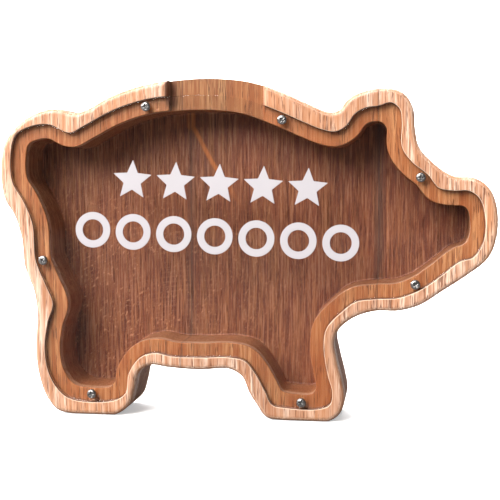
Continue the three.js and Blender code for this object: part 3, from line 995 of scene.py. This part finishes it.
def steel_material():
    """Zinc-plated steel with turning marks and slightly cloudy plating."""
    n = Nodes("zinc_steel")
    place = n.put("ShaderNodeTexCoord", output=3)
    cloud = n.noise(n.scaled(place, (700, 700, 700)), detail=3)
    fine = n.noise(n.scaled(place, (4200, 900, 4200)), detail=2)
    colour = n.mix(n.ramp(cloud, 0.35, 0.7), srgb(STEEL_PALE), srgb(STEEL_DARK))
    roughness = n.ramp(cloud, 0.3, 0.75, 0.22, 0.42)
    shader = n.put("ShaderNodeBsdfPrincipled", {
        "Base Color": colour,
        "Metallic": 1.0,
        "Roughness": roughness,
        "Normal": n.bump(fine, 0.00002, 0.5),
    })
    return n.finish(shader)


def vinyl_material():
    """White matt vinyl with a faint orange-peel surface."""
    n = Nodes("white_vinyl")
    place = n.put("ShaderNodeTexCoord", output=3)
    peel = n.noise(n.scaled(place, (1400, 1400, 1400)), detail=2)
    cloud = n.noise(n.scaled(place, (60, 60, 60)), detail=2)
    shader = n.put("ShaderNodeBsdfPrincipled", {
        "Base Color": n.mix(cloud, srgb(VINYL_PALE), srgb(VINYL_DARK)),
        "Roughness": n.ramp(peel, 0.3, 0.7, 0.38, 0.5),
        "Normal": n.bump(peel, 0.00001, 0.4),
    })
    return n.finish(shader)


def backdrop_material():
    """Pale matt paper that throws less light back on the object than it shows to the eye."""
    n = Nodes("backdrop")
    place = n.put("ShaderNodeTexCoord", output=3)
    grain = n.noise(n.scaled(place, (40, 40, 40)), detail=2)
    pale = n.mix(grain, (0.93, 0.93, 0.93, 1), (0.90, 0.90, 0.90, 1))
    is_seen = n.put("ShaderNodeLightPath", output=0)
    return n.finish(n.put("ShaderNodeBsdfPrincipled", {
        "Base Color": n.mix(is_seen, BACKDROP_BOUNCE, pale),
        "Roughness": 0.9,
        "Specular IOR Level": 0.1,
        "Emission Color": (1, 1, 1, 1),
        "Emission Strength": n.times(is_seen, BACKDROP_GLOW),
    }))


# ---- Camera, floor and lights ----


def make_camera():
    data = bpy.data.cameras.new("camera")
    data.lens = CAMERA_LENS
    data.sensor_width = SENSOR_WIDTH
    data.clip_start = 0.01
    camera = bpy.data.objects.new("camera", data)
    camera.location = CAMERA_PLACE
    camera.rotation_euler = (math.radians(90 - CAMERA_DROP), 0, math.radians(CAMERA_TURN))
    bpy.context.scene.collection.objects.link(camera)
    bpy.context.scene.camera = camera


def make_backdrop():
    """A floor that sweeps up into a wall behind, as one curved sheet."""
    wide, front, back, radius, top = 3.0, -2.2, 1.1, 0.5, 2.4
    side = [(front, 0.0), (back - radius, 0.0)]
    side += [
        (back - radius + radius * math.sin(a), radius - radius * math.cos(a))
        for a in (math.pi / 2 * i / 16 for i in range(1, 17))
    ]
    side.append((back, top))
    mesh = bpy.data.meshes.new("backdrop")
    points = [(x, y, z - 0.0002) for y, z in side for x in (-wide, wide)]
    faces = [(2 * i, 2 * i + 1, 2 * i + 3, 2 * i + 2) for i in range(len(side) - 1)]
    mesh.from_pydata(points, [], faces)
    mesh.shade_smooth()
    sheet = add_object("backdrop", mesh)
    mesh.materials.append(backdrop_material())


def add_light(name, place, target, size, power, colour, spread):
    data = bpy.data.lights.new(name, "AREA")
    data.shape = "SQUARE"
    data.size = size
    data.energy = power
    data.color = colour
    data.spread = math.radians(spread)
    lamp = bpy.data.objects.new(name, data)
    lamp.location = place
    lamp.rotation_euler = (Vector(target) - Vector(place)).to_track_quat("-Z", "Y").to_euler()
    bpy.context.scene.collection.objects.link(lamp)


def make_light():
    world = bpy.data.worlds.new("studio")
    world.use_nodes = True
    tree = world.node_tree
    dim = tree.nodes["Background"]
    dim.inputs["Color"].default_value = WORLD_COLOUR
    dim.inputs["Strength"].default_value = WORLD_STRENGTH
    pale = tree.nodes.new("ShaderNodeBackground")
    pale.inputs["Color"].default_value = WORLD_SEEN
    path = tree.nodes.new("ShaderNodeLightPath")
    choice = tree.nodes.new("ShaderNodeMixShader")
    tree.links.new(path.outputs["Is Camera Ray"], choice.inputs[0])
    tree.links.new(dim.outputs[0], choice.inputs[1])
    tree.links.new(pale.outputs[0], choice.inputs[2])
    tree.links.new(choice.outputs[0], tree.nodes["World Output"].inputs["Surface"])
    bpy.context.scene.world = world
    for lamp in LAMPS:
        add_light(*lamp)
    view = bpy.context.scene.view_settings
    view.view_transform = "Standard"
    view.look = "None"


make_camera()
make_backdrop()
make_light()
make_boards()
make_panel()
make_screws()
make_decals()
